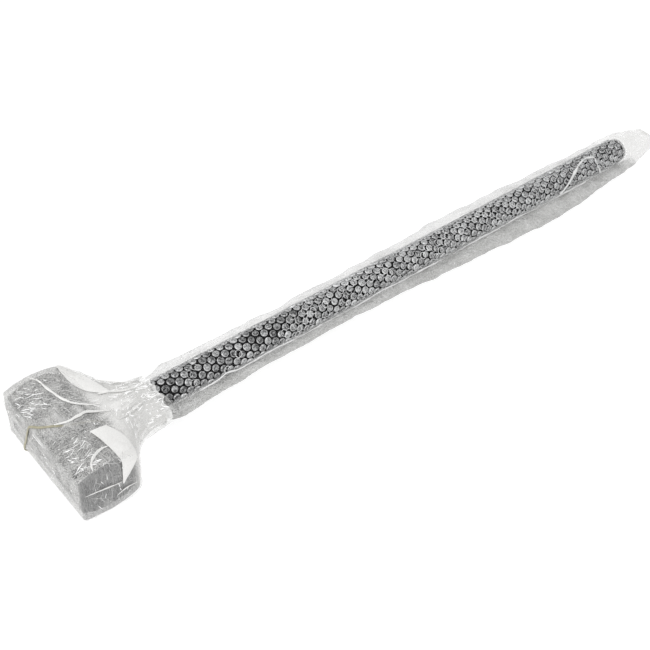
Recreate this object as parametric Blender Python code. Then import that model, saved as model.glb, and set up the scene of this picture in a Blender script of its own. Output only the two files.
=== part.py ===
"""Long-handled rubber mallet lying in its shipping wrap.

Every piece is modelled in the mallet's own frame: the head's centre is the origin, the handle runs along +X,
the head's striking axis is Y and +Z is up.  One empty then tips the whole mallet until the head and the
sleeve's belly both touch the floor, and moves it so that the floor is z = 0 and x = y = 0 is its middle.
All sizes are in metres.
"""

import math

import bmesh
import bpy
from mathutils import Vector

# ---- driving dimensions --------------------------------------------------------------------------
OVERALL_LENGTH = 0.900        # outer face of the head to the butt of the handle, without the wrap
FIT_GAP = 0.0003              # gap kept between pieces that touch

HEAD_HALF_WIDTH = 0.0300      # along the handle
HEAD_HALF_LENGTH = 0.0755     # along the striking axis
HEAD_HALF_DEPTH = 0.0335      # at the middle of the crowned top and bottom
HEAD_SIDE_HALF_DEPTH = 0.0255 # where the crowned faces meet the flat sides
HEAD_CHAMFER = 0.0030
EYE_RADIUS = 0.0160

LINER_WALL = 0.0022
EYE_PLUG_DEPTH = 0.0045
CORE_RADIUS = 0.0095
CORE_END = 0.850
JACKET_RADIUS = 0.0148
GRIP_RADIUS = 0.0152
GRIP_START = 0.560
COLLAR_RADIUS = 0.0190
COLLAR_TIP_RADIUS = 0.0168
COLLAR_END = 0.098
BUTT_CAP_LENGTH = 0.0114

BUBBLE_INNER_RADIUS = 0.0155
BUBBLE_RADIUS = 0.0180
BUBBLE_START = 0.1006
BUBBLE_OVERHANG = 0.002

FOAM_THICKNESS = 0.0014
FOAM_OPENING_RADIUS = 0.0235
FLAP_THICKNESS = 0.0006
FLAP_LIFT = 0.0005            # between the foam's crowned top and a flap
FLAP_INNER_X = -0.002         # a flap's edge nearest the head's middle
FLAP_OUTER_X = 0.0255         # its edge at the handle side
FLAP_TIP_WIDTH = 0.006
FLAP_ROOT_INSET = 0.006       # from the striking face to the flap's root
FLAP_TIP_INSET = 0.050        # from the striking face to its tip
BAND_WIDTH = 0.0030
BAND_THICKNESS = 0.0008
BAND_TOP_Y = (0.016, -0.024)  # where the slanted band crosses the top's outer and handle-side edges
BAND_LOW_Y = (0.042, -0.022)  # and the underside's
FILM_THICKNESS = 0.0006
FILM_HEM_X = 0.107
FILM_HEM_RADIUS = 0.0198
FILM_NECK_RUN = 0.022         # from the head's side to the round part of the film
FILM_NECK_RADIUS = 0.0345
FILM_NECK_FLARE = 1.6         # how fast the film narrows towards its hem
NECK_FOAM_END = 0.0995

SLEEVE_THICKNESS = 0.0008
SLEEVE_MOUTH_X = 0.1012
SLEEVE_END_X = 0.955
SLEEVE_HALF_WIDTH = 0.042
SLEEVE_HALF_DEPTH = 0.0205
SLEEVE_MOUTH_RADIUS = 0.0189
SLEEVE_MOUTH_STRAIGHT = 0.007 # round length of the mouth, under the film's hem
SLEEVE_CREASE_WALL = 1.8      # how much further in the hollow starts at a crease, in wall thicknesses
SLEEVE_TIP_HALF_WIDTH = 0.018
SLEEVE_TIP_HALF_DEPTH = 0.0034

# The sleeve along the handle: distance from its mouth, half width and half depth as shares of the full ones,
# and the power of its lens section.
SLEEVE_STATIONS = ((0.015, 0.56, 0.956, 1.9), (0.028, 0.76, 0.985, 1.7), (0.050, 0.975, 1.0, 1.5),
                   (0.300, 1.0, 1.0, 1.5), (0.600, 1.0, 1.0, 1.5), (0.785, 1.0, 1.0, 1.5),
                   (0.815, 0.975, 0.80, 1.6), (0.835, 0.90, 0.56, 1.7), (0.846, 0.74, 0.34, 1.8))
# The film's shoulder: distance from the head's side, then length, depth and corner shares of a full section.
FILM_SHOULDER = ((0.015, 0.60, 0.94, 0.75), (0.006, 0.86, 1.0, 0.45))

# Stations across the crowned head, as shares of its half width.  Every layer uses them, so that they nest.
HEAD_STATIONS = (1.0, 0.85, 0.6, 0.3, 0.0, -0.3, -0.6, -0.85, -1.0)

ROUND_SEGMENTS = 32
CORNER_SEGMENTS = 4
LONG_EDGE_SEGMENTS = 6
SHORT_EDGE_SEGMENTS = 2

BUTT_X = OVERALL_LENGTH - HEAD_HALF_WIDTH


# ---- materials -----------------------------------------------------------------------------------
def make_material(name, color, roughness, metallic=0.0, alpha=1.0):
    material = bpy.data.materials.new(name)
    material.use_nodes = True
    shader = material.node_tree.nodes["Principled BSDF"]
    shader.inputs["Base Color"].default_value = (*color, 1.0)
    shader.inputs["Roughness"].default_value = roughness
    shader.inputs["Metallic"].default_value = metallic
    shader.inputs["Alpha"].default_value = alpha
    return material


# ---- mesh helpers --------------------------------------------------------------------------------
def finish_object(name, bm, material, parent, smooth_angle=35.0):
    """Turns a closed bmesh into a named object under the parent empty."""
    bmesh.ops.recalc_face_normals(bm, faces=bm.faces)
    mesh = bpy.data.meshes.new(name)
    bm.to_mesh(mesh)
    bm.free()
    mesh.shade_smooth()
    mesh.set_sharp_from_angle(angle=math.radians(smooth_angle))
    mesh.materials.append(material)
    obj = bpy.data.objects.new(name, mesh)
    bpy.context.scene.collection.objects.link(obj)
    obj.parent = parent
    return obj


def bridge(bm, ring_a, ring_b):
    """Quads between two rings of the same number of vertices."""
    count = len(ring_a)
    for i in range(count):
        j = (i + 1) % count
        bm.faces.new((ring_a[i], ring_a[j], ring_b[j], ring_b[i]))


def add_rings(bm, sections):
    return [[bm.verts.new(point) for point in section] for section in sections]


def turned(name, profile, material, parent, segments=ROUND_SEGMENTS):
    """A solid turned about the handle's axis from a closed (x, radius) profile that keeps off the axis."""
    bm = bmesh.new()
    sections = [
        [
            Vector((x, radius * math.cos(turn), radius * math.sin(turn)))
            for turn in (2 * math.pi * i / segments for i in range(segments))
        ]
        for x, radius in profile
    ]
    rings = add_rings(bm, sections)
    for ring_a, ring_b in zip(rings, rings[1:] + rings[:1]):
        bridge(bm, ring_a, ring_b)
    return finish_object(name, bm, material, parent)


def rod(name, profile, material, parent, segments=ROUND_SEGMENTS):
    """A solid bar from an open (x, radius) profile, closed by a flat face at each end."""
    bm = bmesh.new()
    sections = [
        [
            Vector((x, radius * math.cos(turn), radius * math.sin(turn)))
            for turn in (2 * math.pi * i / segments for i in range(segments))
        ]
        for x, radius in profile
    ]
    rings = add_rings(bm, sections)
    for ring_a, ring_b in zip(rings, rings[1:]):
        bridge(bm, ring_a, ring_b)
    bm.faces.new(rings[0])
    bm.faces.new(rings[-1])
    return finish_object(name, bm, material, parent)


def pouch(name, outer, inner, material, parent):
    """A thin skin from outer and inner sections, open at its first section and closed past its last one."""
    bm = bmesh.new()
    outer_rings = add_rings(bm, outer)
    inner_rings = add_rings(bm, inner)
    for rings in (outer_rings, inner_rings):
        for ring_a, ring_b in zip(rings, rings[1:]):
            bridge(bm, ring_a, ring_b)
        bm.faces.new(rings[-1])
    bridge(bm, outer_rings[0], inner_rings[0])
    return finish_object(name, bm, material, parent)


def tube(name, outer, inner, material, parent):
    """A thin skin open at both ends."""
    bm = bmesh.new()
    outer_rings = add_rings(bm, outer)
    inner_rings = add_rings(bm, inner)
    for rings in (outer_rings, inner_rings):
        for ring_a, ring_b in zip(rings, rings[1:]):
            bridge(bm, ring_a, ring_b)
    bridge(bm, outer_rings[0], inner_rings[0])
    bridge(bm, outer_rings[-1], inner_rings[-1])
    return finish_object(name, bm, material, parent)


# ---- section curves ------------------------------------------------------------------------------
def crown_depth(x, half_width, half_depth, side_depth):
    """Half depth of the crowned head at a distance x along the handle: an arc between its flat sides."""
    rise = half_depth - side_depth
    radius = (half_width**2 + rise**2) / (2 * rise)
    return half_depth - radius + math.sqrt(radius**2 - min(abs(x), half_width) ** 2)


def rounded_section(x, half_y, half_z, corner):
    """A rounded rectangle across the handle's axis, with the same number of points whatever its size."""
    points = []
    turns = ((1, 1, LONG_EDGE_SEGMENTS), (-1, 1, SHORT_EDGE_SEGMENTS), (-1, -1, LONG_EDGE_SEGMENTS),
             (1, -1, SHORT_EDGE_SEGMENTS))
    for quarter, (sign_y, sign_z, edge_segments) in enumerate(turns):
        centre = Vector((x, sign_y * (half_y - corner), sign_z * (half_z - corner)))
        for i in range(CORNER_SEGMENTS + 1):
            turn = math.pi / 2 * (quarter + i / CORNER_SEGMENTS)
            points.append(centre + corner * Vector((0, math.cos(turn), math.sin(turn))))
        next_y, next_z = turns[(quarter + 1) % 4][:2]
        next_centre = Vector((x, next_y * (half_y - corner), next_z * (half_z - corner)))
        turn = math.pi / 2 * (quarter + 1)
        start = points[-1]
        end = next_centre + corner * Vector((0, math.cos(turn), math.sin(turn)))
        points.extend(start.lerp(end, i / edge_segments) for i in range(1, edge_segments))
    return points


def lens_section(x, half_y, half_z, power):
    """A pointed oval across the handle's axis: power 2 is an ellipse, and less pinches its two creases."""
    points = []
    for i in range(ROUND_SEGMENTS):
        turn = 2 * math.pi * i / ROUND_SEGMENTS
        c, s = math.cos(turn), math.sin(turn)
        y = half_y * math.copysign(abs(c) ** (2 / power), c)
        z = half_z * math.copysign(abs(s) ** (2 / power), s)
        points.append(Vector((x, y, z)))
    return points


# ---- the mallet ----------------------------------------------------------------------------------
def build_head_block(material, parent):
    """Crowned rubber block with chamfered striking faces and an eye right through it along the handle."""
    outline = []
    for side in (1, -1):
        for share in HEAD_STATIONS:
            x = side * share * HEAD_HALF_WIDTH
            z = side * crown_depth(x, HEAD_HALF_WIDTH, HEAD_HALF_DEPTH, HEAD_SIDE_HALF_DEPTH)
            outline.append((x, z))
    shrink_x = 1 - HEAD_CHAMFER / HEAD_HALF_WIDTH
    shrink_z = 1 - HEAD_CHAMFER / HEAD_HALF_DEPTH
    stations = ((-HEAD_HALF_LENGTH, True), (HEAD_CHAMFER - HEAD_HALF_LENGTH, False),
                (HEAD_HALF_LENGTH - HEAD_CHAMFER, False), (HEAD_HALF_LENGTH, True))
    bm = bmesh.new()
    sections = [
        [Vector((x * shrink_x, y, z * shrink_z)) if small else Vector((x, y, z)) for x, z in outline]
        for y, small in stations
    ]
    rings = add_rings(bm, sections)
    for ring_a, ring_b in zip(rings, rings[1:]):
        bridge(bm, ring_a, ring_b)
    bm.faces.new(rings[0])
    bm.faces.new(rings[-1])
    block = finish_object("head_block", bm, material, parent)
    reach = 2 * HEAD_HALF_WIDTH
    cutter = rod("eye_cutter", ((-reach, EYE_RADIUS), (reach, EYE_RADIUS)), material, parent)
    cutter.hide_render = True
    cutter.display_type = "WIRE"
    cut = block.modifiers.new("eye", "BOOLEAN")
    cut.operation = "DIFFERENCE"
    cut.solver = "EXACT"
    cut.object = cutter
    return block


def build_eye(materials, parent):
    """Liner, plug and potting resin that hold the handle in the head's eye."""
    outer = EYE_RADIUS - FIT_GAP
    inner = outer - LINER_WALL
    plug_back = EYE_PLUG_DEPTH - HEAD_HALF_WIDTH
    liner_front = plug_back + FIT_GAP
    liner_back = HEAD_HALF_WIDTH
    turned("eye_liner",
           ((liner_front, outer), (liner_back, outer), (liner_back, inner), (liner_front, inner)),
           materials["steel"], parent)
    plug_edge = 0.0008
    rod("eye_plug", ((-HEAD_HALF_WIDTH, outer - plug_edge), (plug_edge - HEAD_HALF_WIDTH, outer),
                     (plug_back, outer)), materials["rubber"], parent)
    resin_outer = inner - FIT_GAP
    resin_inner = CORE_RADIUS + FIT_GAP
    resin_back = HEAD_HALF_WIDTH - 0.002
    turned("potting_resin", ((liner_front, resin_outer), (resin_back, resin_outer), (resin_back, resin_inner),
                             (liner_front, resin_inner)), materials["resin"], parent)
    return liner_front


def build_handle(materials, parent, core_start):
    """Glass-fibre core, plastic jacket, overstrike collar, grip and butt cap, one over the other."""
    edge = 0.001
    rod("handle_core", ((core_start, CORE_RADIUS - edge), (core_start + edge, CORE_RADIUS),
                        (CORE_END, CORE_RADIUS)), materials["fibre"], parent)
    jacket_start = HEAD_HALF_WIDTH + FIT_GAP
    jacket_inner = CORE_RADIUS + FIT_GAP
    jacket_end = BUTT_X - BUTT_CAP_LENGTH - FIT_GAP
    turned("handle_jacket", ((jacket_start, JACKET_RADIUS), (jacket_end, JACKET_RADIUS),
                             (jacket_end, jacket_inner), (jacket_start, jacket_inner)),
           materials["jacket"], parent)
    over_jacket = JACKET_RADIUS + FIT_GAP
    build_collar(materials["rubber"], parent, jacket_start, over_jacket)
    turned("grip_sleeve", ((GRIP_START, over_jacket), (GRIP_START, GRIP_RADIUS - edge / 2),
                           (GRIP_START + edge, GRIP_RADIUS), (jacket_end, GRIP_RADIUS),
                           (jacket_end, over_jacket)), materials["grip"], parent)
    spigot_start = CORE_END + FIT_GAP
    spigot_radius = jacket_inner - FIT_GAP
    flange_start = jacket_end + FIT_GAP
    round_off = 0.003
    rod("butt_cap", ((spigot_start, spigot_radius), (flange_start, spigot_radius), (flange_start, GRIP_RADIUS),
                     (BUTT_X - round_off, GRIP_RADIUS), (BUTT_X - round_off * 0.3, GRIP_RADIUS - round_off * 0.3),
                     (BUTT_X, GRIP_RADIUS - round_off)), materials["rubber"], parent)


def build_collar(material, parent, start, bore):
    """Rubber overstrike collar: a flange against the head, then a ribbed taper."""
    flange = 0.006
    ribs = 5
    groove = 0.0008
    profile = [(COLLAR_END, bore), (start, bore), (start, COLLAR_RADIUS), (start + flange, COLLAR_RADIUS)]
    pitch = (COLLAR_END - start - flange) / ribs
    for i in range(ribs):
        x = start + flange + i * pitch
        share = i / ribs
        radius = COLLAR_RADIUS + (COLLAR_TIP_RADIUS - COLLAR_RADIUS) * share
        profile.append((x + pitch * 0.15, radius - groove))
        profile.append((x + pitch * 0.30, radius - groove * 0.2))
        profile.append((x + pitch * 0.85, radius - groove * 0.4))
    profile.append((COLLAR_END, COLLAR_TIP_RADIUS - groove))
    turned("neck_collar", profile, material, parent)


# ---- the wrap ------------------------------------------------------------------------------------
def build_bubble_wrap(material, parent):
    end = BUTT_X + BUBBLE_OVERHANG
    turned("bubble_wrap_roll", ((BUBBLE_START, BUBBLE_RADIUS), (end, BUBBLE_RADIUS), (end, BUBBLE_INNER_RADIUS),
                                (BUBBLE_START, BUBBLE_INNER_RADIUS)), material, parent)


def head_sections(grow, stations):
    """Sections of the head grown by a wall, from its handle side to its outer face."""
    corner = 0.004 + grow
    half_width = HEAD_HALF_WIDTH + grow
    sections = []
    for share in stations:
        x = share * half_width
        half_z = crown_depth(x, half_width, HEAD_HALF_DEPTH + grow, HEAD_SIDE_HALF_DEPTH + grow)
        sections.append(rounded_section(x, HEAD_HALF_LENGTH + grow, half_z, corner))
    return sections


def build_head_foam(material, parent):
    """Foam sheet folded all round the block, with an opening that the collar passes through."""
    def skin(grow, opening):
        mouth = rounded_section(HEAD_HALF_WIDTH + grow, opening, opening, opening * 0.92)
        return [mouth] + head_sections(grow, HEAD_STATIONS)

    inner_grow = FIT_GAP
    outer_grow = FIT_GAP + FOAM_THICKNESS
    pouch("head_foam_wrap", skin(outer_grow, FOAM_OPENING_RADIUS), skin(inner_grow, FOAM_OPENING_RADIUS),
          material, parent)
    return outer_grow


def build_corner_flap(name, side, material, parent, grow):
    """Triangular flap of the foam, turned back over the crowned top at the handle side of one end."""
    steps = 5
    root_y = side * (HEAD_HALF_LENGTH - FLAP_ROOT_INSET)
    tip_y = side * (HEAD_HALF_LENGTH - FLAP_TIP_INSET)
    half_width = HEAD_HALF_WIDTH + grow
    bm = bmesh.new()
    layers = []
    for lift in (FLAP_LIFT, FLAP_LIFT + FLAP_THICKNESS):
        rows = []
        for i in range(steps + 1):
            share = i / steps
            low_x = FLAP_INNER_X + (FLAP_OUTER_X - FLAP_TIP_WIDTH - FLAP_INNER_X) * share
            y = root_y + (tip_y - root_y) * share
            row = []
            for j in range(steps + 1):
                x = low_x + (FLAP_OUTER_X - low_x) * j / steps
                top = crown_depth(x, half_width, HEAD_HALF_DEPTH + grow, HEAD_SIDE_HALF_DEPTH + grow)
                row.append(bm.verts.new((x, y, top + lift)))
            rows.append(row)
        layers.append(rows)
    for rows in layers:
        for row_a, row_b in zip(rows, rows[1:]):
            for j in range(steps):
                bm.faces.new((row_a[j], row_a[j + 1], row_b[j + 1], row_b[j]))
    rims = [rows[0] + [row[-1] for row in rows[1:-1]] + rows[-1][::-1] + [row[0] for row in rows[-2:0:-1]]
            for rows in layers]
    bridge(bm, rims[0], rims[1])
    return finish_object(name, bm, material, parent)


def build_rubber_band(material, parent, grow):
    """Flat rubber band round the head, passing beside the collar on the handle side."""
    lift = grow + FIT_GAP
    steps = 8
    path = []
    for side, (outer_y, handle_y) in ((1, BAND_TOP_Y), (-1, BAND_LOW_Y)):
        for i in range(steps + 1):
            x = side * (HEAD_HALF_WIDTH + lift) * (2 * i / steps - 1)
            share = (x / (HEAD_HALF_WIDTH + lift) + 1) / 2
            y = outer_y + (handle_y - outer_y) * share
            z = side * crown_depth(x, HEAD_HALF_WIDTH + lift, HEAD_HALF_DEPTH + lift,
                                   HEAD_SIDE_HALF_DEPTH + lift)
            path.append(Vector((x, y, z)))
    bm = bmesh.new()
    rings = [[], [], [], []]
    count = len(path)
    for i, point in enumerate(path):
        along = path[(i + 1) % count] - path[i - 1]
        along.y = 0
        along.normalize()
        outward = Vector((-along.z, 0, along.x))
        if outward.dot(Vector((point.x, 0, point.z))) < 0:
            outward.negate()
        across = Vector((0, BAND_WIDTH / 2, 0))
        for ring, offset in zip(rings, (-across, across, across + outward * BAND_THICKNESS,
                                        outward * BAND_THICKNESS - across)):
            ring.append(bm.verts.new(point + offset))
    for ring_a, ring_b in zip(rings, rings[1:] + rings[:1]):
        bridge(bm, ring_a, ring_b)
    return finish_object("rubber_band", bm, material, parent)


def neck_sections(grow, start_x, end_x, end_radius, steps=7):
    """Round sections that run down from the head's handle side to a hem on the handle."""
    start_radius = HEAD_SIDE_HALF_DEPTH + grow - 0.001
    sections = []
    for i in range(steps + 1):
        share = i / steps
        radius = end_radius + (start_radius - end_radius) * (1 - share) ** 1.8
        x = start_x + (end_x - start_x) * share
        sections.append(rounded_section(x, radius, radius, radius * 0.92))
    return sections


def build_neck_foam(material, parent, grow):
    """Foam gathered round the neck, from the head to the start of the bubble wrap."""
    start = HEAD_HALF_WIDTH + grow + FIT_GAP + BAND_THICKNESS + FIT_GAP
    outer_end = FILM_HEM_RADIUS - FILM_THICKNESS - 0.0004
    outer = neck_sections(grow, start, NECK_FOAM_END, outer_end)
    inner = neck_sections(grow - FOAM_THICKNESS, start, NECK_FOAM_END, outer_end - FOAM_THICKNESS)
    tube("neck_foam_wrap", outer, inner, material, parent)


def build_head_film(material, parent, grow):
    """Clear film over the whole head, drawn in like a tent and gathered round the neck down to its hem."""
    def skin(wall, hem_radius):
        half_width = HEAD_HALF_WIDTH + wall
        side_depth = HEAD_SIDE_HALF_DEPTH + wall
        neck_start = half_width + FILM_NECK_RUN
        neck_radius = FILM_NECK_RADIUS + wall - grow
        sections = []
        steps = 6
        for i in range(steps + 1):
            share = i / steps
            radius = hem_radius + (neck_radius - hem_radius) * share**FILM_NECK_FLARE
            x = FILM_HEM_X + (neck_start - FILM_HEM_X) * share
            half_z = min(radius, side_depth)
            sections.append(rounded_section(x, radius, half_z, half_z * 0.90))
        for distance, wide, deep, corner in FILM_SHOULDER:
            half_y = (HEAD_HALF_LENGTH + wall) * wide
            half_z = side_depth * deep
            sections.append(rounded_section(half_width + distance, half_y, half_z, half_z * corner))
        return sections + head_sections(wall, HEAD_STATIONS)

    outer_wall = grow + FILM_THICKNESS
    outer = skin(outer_wall, FILM_HEM_RADIUS)
    inner = skin(grow, FILM_HEM_RADIUS - FILM_THICKNESS)
    pouch("head_film", outer, inner, material, parent)
    return outer_wall


def build_sleeve(material, parent):
    """Foam sleeve over the wrapped handle: round at its mouth, a lens along the handle, shut at its end."""
    def skin(wall):
        mouth = SLEEVE_MOUTH_RADIUS - wall
        mouth_end = SLEEVE_MOUTH_X + SLEEVE_MOUTH_STRAIGHT
        sections = [lens_section(x, mouth, mouth, 2.0) for x in (SLEEVE_MOUTH_X, mouth_end)]
        for along, wide, deep, power in SLEEVE_STATIONS:
            half_y = SLEEVE_HALF_WIDTH * wide - wall * SLEEVE_CREASE_WALL
            half_z = SLEEVE_HALF_DEPTH * deep - wall
            sections.append(lens_section(SLEEVE_MOUTH_X + along, half_y, half_z, power))
        end = SLEEVE_END_X - 1.5 * wall
        sections.append(lens_section(end, SLEEVE_TIP_HALF_WIDTH - wall, SLEEVE_TIP_HALF_DEPTH - wall, 2.0))
        return sections

    return pouch("sleeve_bag", skin(0.0), skin(SLEEVE_THICKNESS), material, parent)


# ---- assembly ------------------------------------------------------------------------------------
def tip_onto_floor(parent, head_half_depth):
    """Tips the mallet until its head and the sleeve's belly rest on one floor, then centres it."""
    belly_x = BUTT_X + BUBBLE_OVERHANG
    parent.rotation_euler.y = math.asin((head_half_depth - SLEEVE_HALF_DEPTH) / belly_x)
    bpy.context.view_layer.update()
    depsgraph = bpy.context.evaluated_depsgraph_get()
    corners = []
    for obj in bpy.data.objects:
        if obj.type == "MESH" and not obj.hide_render:
            evaluated = obj.evaluated_get(depsgraph)
            corners.extend(obj.matrix_world @ vertex.co for vertex in evaluated.data.vertices)
    low = [min(corner[axis] for corner in corners) for axis in range(3)]
    high = [max(corner[axis] for corner in corners) for axis in range(3)]
    parent.location = (-(low[0] + high[0]) / 2, -(low[1] + high[1]) / 2, -low[2])


def main():
    for obj in list(bpy.data.objects):
        bpy.data.objects.remove(obj, do_unlink=True)
    mallet = bpy.data.objects.new("mallet_at_rest", None)
    bpy.context.scene.collection.objects.link(mallet)
    materials = {
        "rubber": make_material("rubber", (0.030, 0.030, 0.032), 0.75),
        "steel": make_material("steel", (0.55, 0.56, 0.58), 0.35, metallic=1.0),
        "resin": make_material("resin", (0.62, 0.50, 0.24), 0.30),
        "fibre": make_material("fibre", (0.72, 0.68, 0.50), 0.40),
        "jacket": make_material("jacket", (0.025, 0.026, 0.028), 0.45),
        "grip": make_material("grip", (0.035, 0.035, 0.037), 0.80),
        "bubble": make_material("bubble", (0.80, 0.82, 0.84), 0.15, alpha=0.35),
        "foam": make_material("foam", (0.86, 0.86, 0.85), 0.70),
        "band": make_material("band", (0.72, 0.66, 0.42), 0.55),
        "film": make_material("film", (0.92, 0.93, 0.94), 0.08, alpha=0.25),
        "sleeve": make_material("sleeve", (0.90, 0.90, 0.90), 0.60, alpha=0.45),
    }
    build_head_block(materials["rubber"], mallet)
    core_start = build_eye(materials, mallet)
    build_handle(materials, mallet, core_start)
    build_bubble_wrap(materials["bubble"], mallet)
    foam_wall = build_head_foam(materials["foam"], mallet)
    build_corner_flap("near_foam_flap", -1, materials["foam"], mallet, foam_wall)
    build_corner_flap("far_foam_flap", 1, materials["foam"], mallet, foam_wall)
    build_rubber_band(materials["band"], mallet, foam_wall)
    build_neck_foam(materials["foam"], mallet, foam_wall)
    film_inner = foam_wall + FIT_GAP + BAND_THICKNESS + FIT_GAP
    film_wall = build_head_film(materials["film"], mallet, film_inner)
    build_sleeve(materials["sleeve"], mallet)
    tip_onto_floor(mallet, HEAD_HALF_DEPTH + film_wall)


main()
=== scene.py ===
import math

import bpy
import numpy as np
from mathutils import Matrix, Vector


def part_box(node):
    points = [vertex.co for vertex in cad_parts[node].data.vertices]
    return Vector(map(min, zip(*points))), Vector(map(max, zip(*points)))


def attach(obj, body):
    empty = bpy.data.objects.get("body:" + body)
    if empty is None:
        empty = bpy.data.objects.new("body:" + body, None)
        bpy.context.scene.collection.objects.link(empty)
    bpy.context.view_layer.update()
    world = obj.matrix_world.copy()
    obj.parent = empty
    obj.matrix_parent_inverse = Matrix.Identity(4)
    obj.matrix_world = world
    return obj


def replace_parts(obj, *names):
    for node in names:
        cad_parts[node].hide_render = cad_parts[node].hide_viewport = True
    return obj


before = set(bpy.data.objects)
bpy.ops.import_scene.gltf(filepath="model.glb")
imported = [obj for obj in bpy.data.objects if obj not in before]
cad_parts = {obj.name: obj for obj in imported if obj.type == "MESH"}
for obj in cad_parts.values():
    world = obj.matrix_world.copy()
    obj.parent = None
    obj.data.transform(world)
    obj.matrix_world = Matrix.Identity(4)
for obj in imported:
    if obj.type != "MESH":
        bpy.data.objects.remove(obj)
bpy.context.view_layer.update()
MM = 0.001


# ---- the mallet's own frame: head centre at the origin, handle along +X, near striking face at -Y ----------
def middle(node):
    low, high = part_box(node)
    return (low + high) / 2


def rest_matrix():
    """The mallet's own frame in the row frame, from the head's and the core's places."""
    head = middle("head_block")
    along = (middle("handle_core") - head).normalized()
    across = Vector((0.0, 1.0, 0.0))
    up = along.cross(across).normalized()
    place = Matrix((along, across, up)).transposed().to_4x4()
    place.translation = head
    return place


REST = rest_matrix()
ROTATE = np.array(REST.to_3x3())
OFFSET = np.array(REST.translation)
FLOOR_CLEARANCE = 0.15 * MM


def to_row(points):
    """Points of the mallet's own frame in the row frame, kept just above the floor."""
    out = points @ ROTATE.T + OFFSET
    out[:, 2] = np.maximum(out[:, 2], FLOOR_CLEARANCE)
    return out


def floor_height(x):
    """Height of the floor in the mallet's own frame, at a distance x along the handle."""
    return (-OFFSET[2] - ROTATE[2, 0] * x) / ROTATE[2, 2]


# ---- crumpling ----------------------------------------------------------------------------------------------
def lattice(corner, seed):
    """A steady pseudo-random height from -1 to 1 for each whole-number corner."""
    mixed = corner[:, 0] * 374761393 + corner[:, 1] * 668265263 + corner[:, 2] * 1103515245 + seed * 974634777
    mixed = mixed & 0xFFFFFFFF
    mixed = ((mixed ^ (mixed >> 13)) * 1274126177) & 0xFFFFFFFF
    mixed = mixed ^ (mixed >> 16)
    return mixed / 2147483647.5 - 1.0


def crumple(points, size, seed):
    """Crumpled-sheet noise, -1 to 1: flat facets that meet at sharp creases, about size across."""
    bent = points / size
    bent = bent + 0.35 * np.sin(bent[:, [1, 2, 0]] * 1.3 + seed) + 0.2 * np.sin(bent[:, [2, 0, 1]] * 2.9 + 2 * seed)
    skewed = bent + bent.sum(1, keepdims=True) / 3.0
    corner = np.floor(skewed).astype(np.int64)
    share = skewed - corner
    order = np.argsort(-share, axis=1)
    share = np.take_along_axis(share, order, 1)
    following = np.concatenate([share[:, 1:], np.zeros((len(share), 1))], 1)
    height = lattice(corner, seed) * (1.0 - share[:, 0])
    rows = np.arange(len(points))
    for k in range(3):
        corner[rows, order[:, k]] += 1
        height += lattice(corner, seed) * (share[:, k] - following[:, k])
    return height


def rough(points, layers, seed):
    """Several sizes of crumpling added up: layers holds (size, height) pairs in metres."""
    total = np.zeros(len(points))
    for k, (size, height) in enumerate(layers):
        total += height * crumple(points, size, seed + 11 * k)
    return total


def ramp(x, low, high):
    """0 before low, 1 after high, with a smooth rise between."""
    t = np.clip((x - low) / (high - low), 0.0, 1.0)
    return t * t * (3.0 - 2.0 * t)


def ridges(lift, shape, flat, seed, low=82.0, high=98.5, patch=28 * MM):
    """How sharply a crumpled grid is folded at each point, 0 to 1, gathered in patches."""
    height = lift.reshape(shape)
    sharp = np.zeros(shape)
    sharp[1:-1] += np.abs(height[2:] - 2 * height[1:-1] + height[:-2])
    sharp[:, 1:-1] += np.abs(height[:, 2:] - 2 * height[:, 1:-1] + height[:, :-2])
    floor, top = np.percentile(sharp, (low, high))
    out = np.clip((sharp - floor) / (top - floor), 0.0, 1.0).reshape(-1)
    where = crumple(flat, patch, seed) + 0.6 * crumple(flat, patch * 0.4, seed + 1)
    return out * ramp(where, -1.2, 0.8)


# ---- meshes -------------------------------------------------------------------------------------------------
def add_mesh(name, points, faces, body, materials, face_material=None, fields=None, smooth=True):
    """A mesh from points in the mallet's own frame, riding on a body.  Fields are numbers for each point."""
    mesh = bpy.data.meshes.new(name)
    mesh.from_pydata(to_row(np.asarray(points, float)).tolist(), [], [tuple(map(int, f)) for f in faces])
    mesh.update()
    for material in materials:
        mesh.materials.append(material)
    if face_material is not None:
        mesh.polygons.foreach_set("material_index", np.asarray(face_material, np.int32))
    mesh.polygons.foreach_set("use_smooth", np.full(len(mesh.polygons), smooth))
    for field, values in (fields or {}).items():
        mesh.attributes.new(field, "FLOAT", "POINT").data.foreach_set("value", np.asarray(values, np.float32))
    obj = bpy.data.objects.new(name, mesh)
    bpy.context.scene.collection.objects.link(obj)
    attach(obj, body)
    return obj


def grid_faces(rows, columns, wrap=False):
    """Quads over a rows x columns grid of points."""
    r = np.arange(rows - 1)[:, None]
    c = np.arange(columns if wrap else columns - 1)[None, :]
    nxt = (c + 1) % columns
    a = r * columns + c
    b = r * columns + nxt
    return np.stack([a, b, b + columns, a + columns], -1).reshape(-1, 4)


def grid_normals(grid):
    """Unit normals of a rows x columns grid of points."""
    along = np.gradient(grid, axis=0)
    around = np.gradient(grid, axis=1)
    normal = np.cross(around, along)
    return normal / np.maximum(np.linalg.norm(normal, axis=2, keepdims=True), 1e-12)


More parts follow.
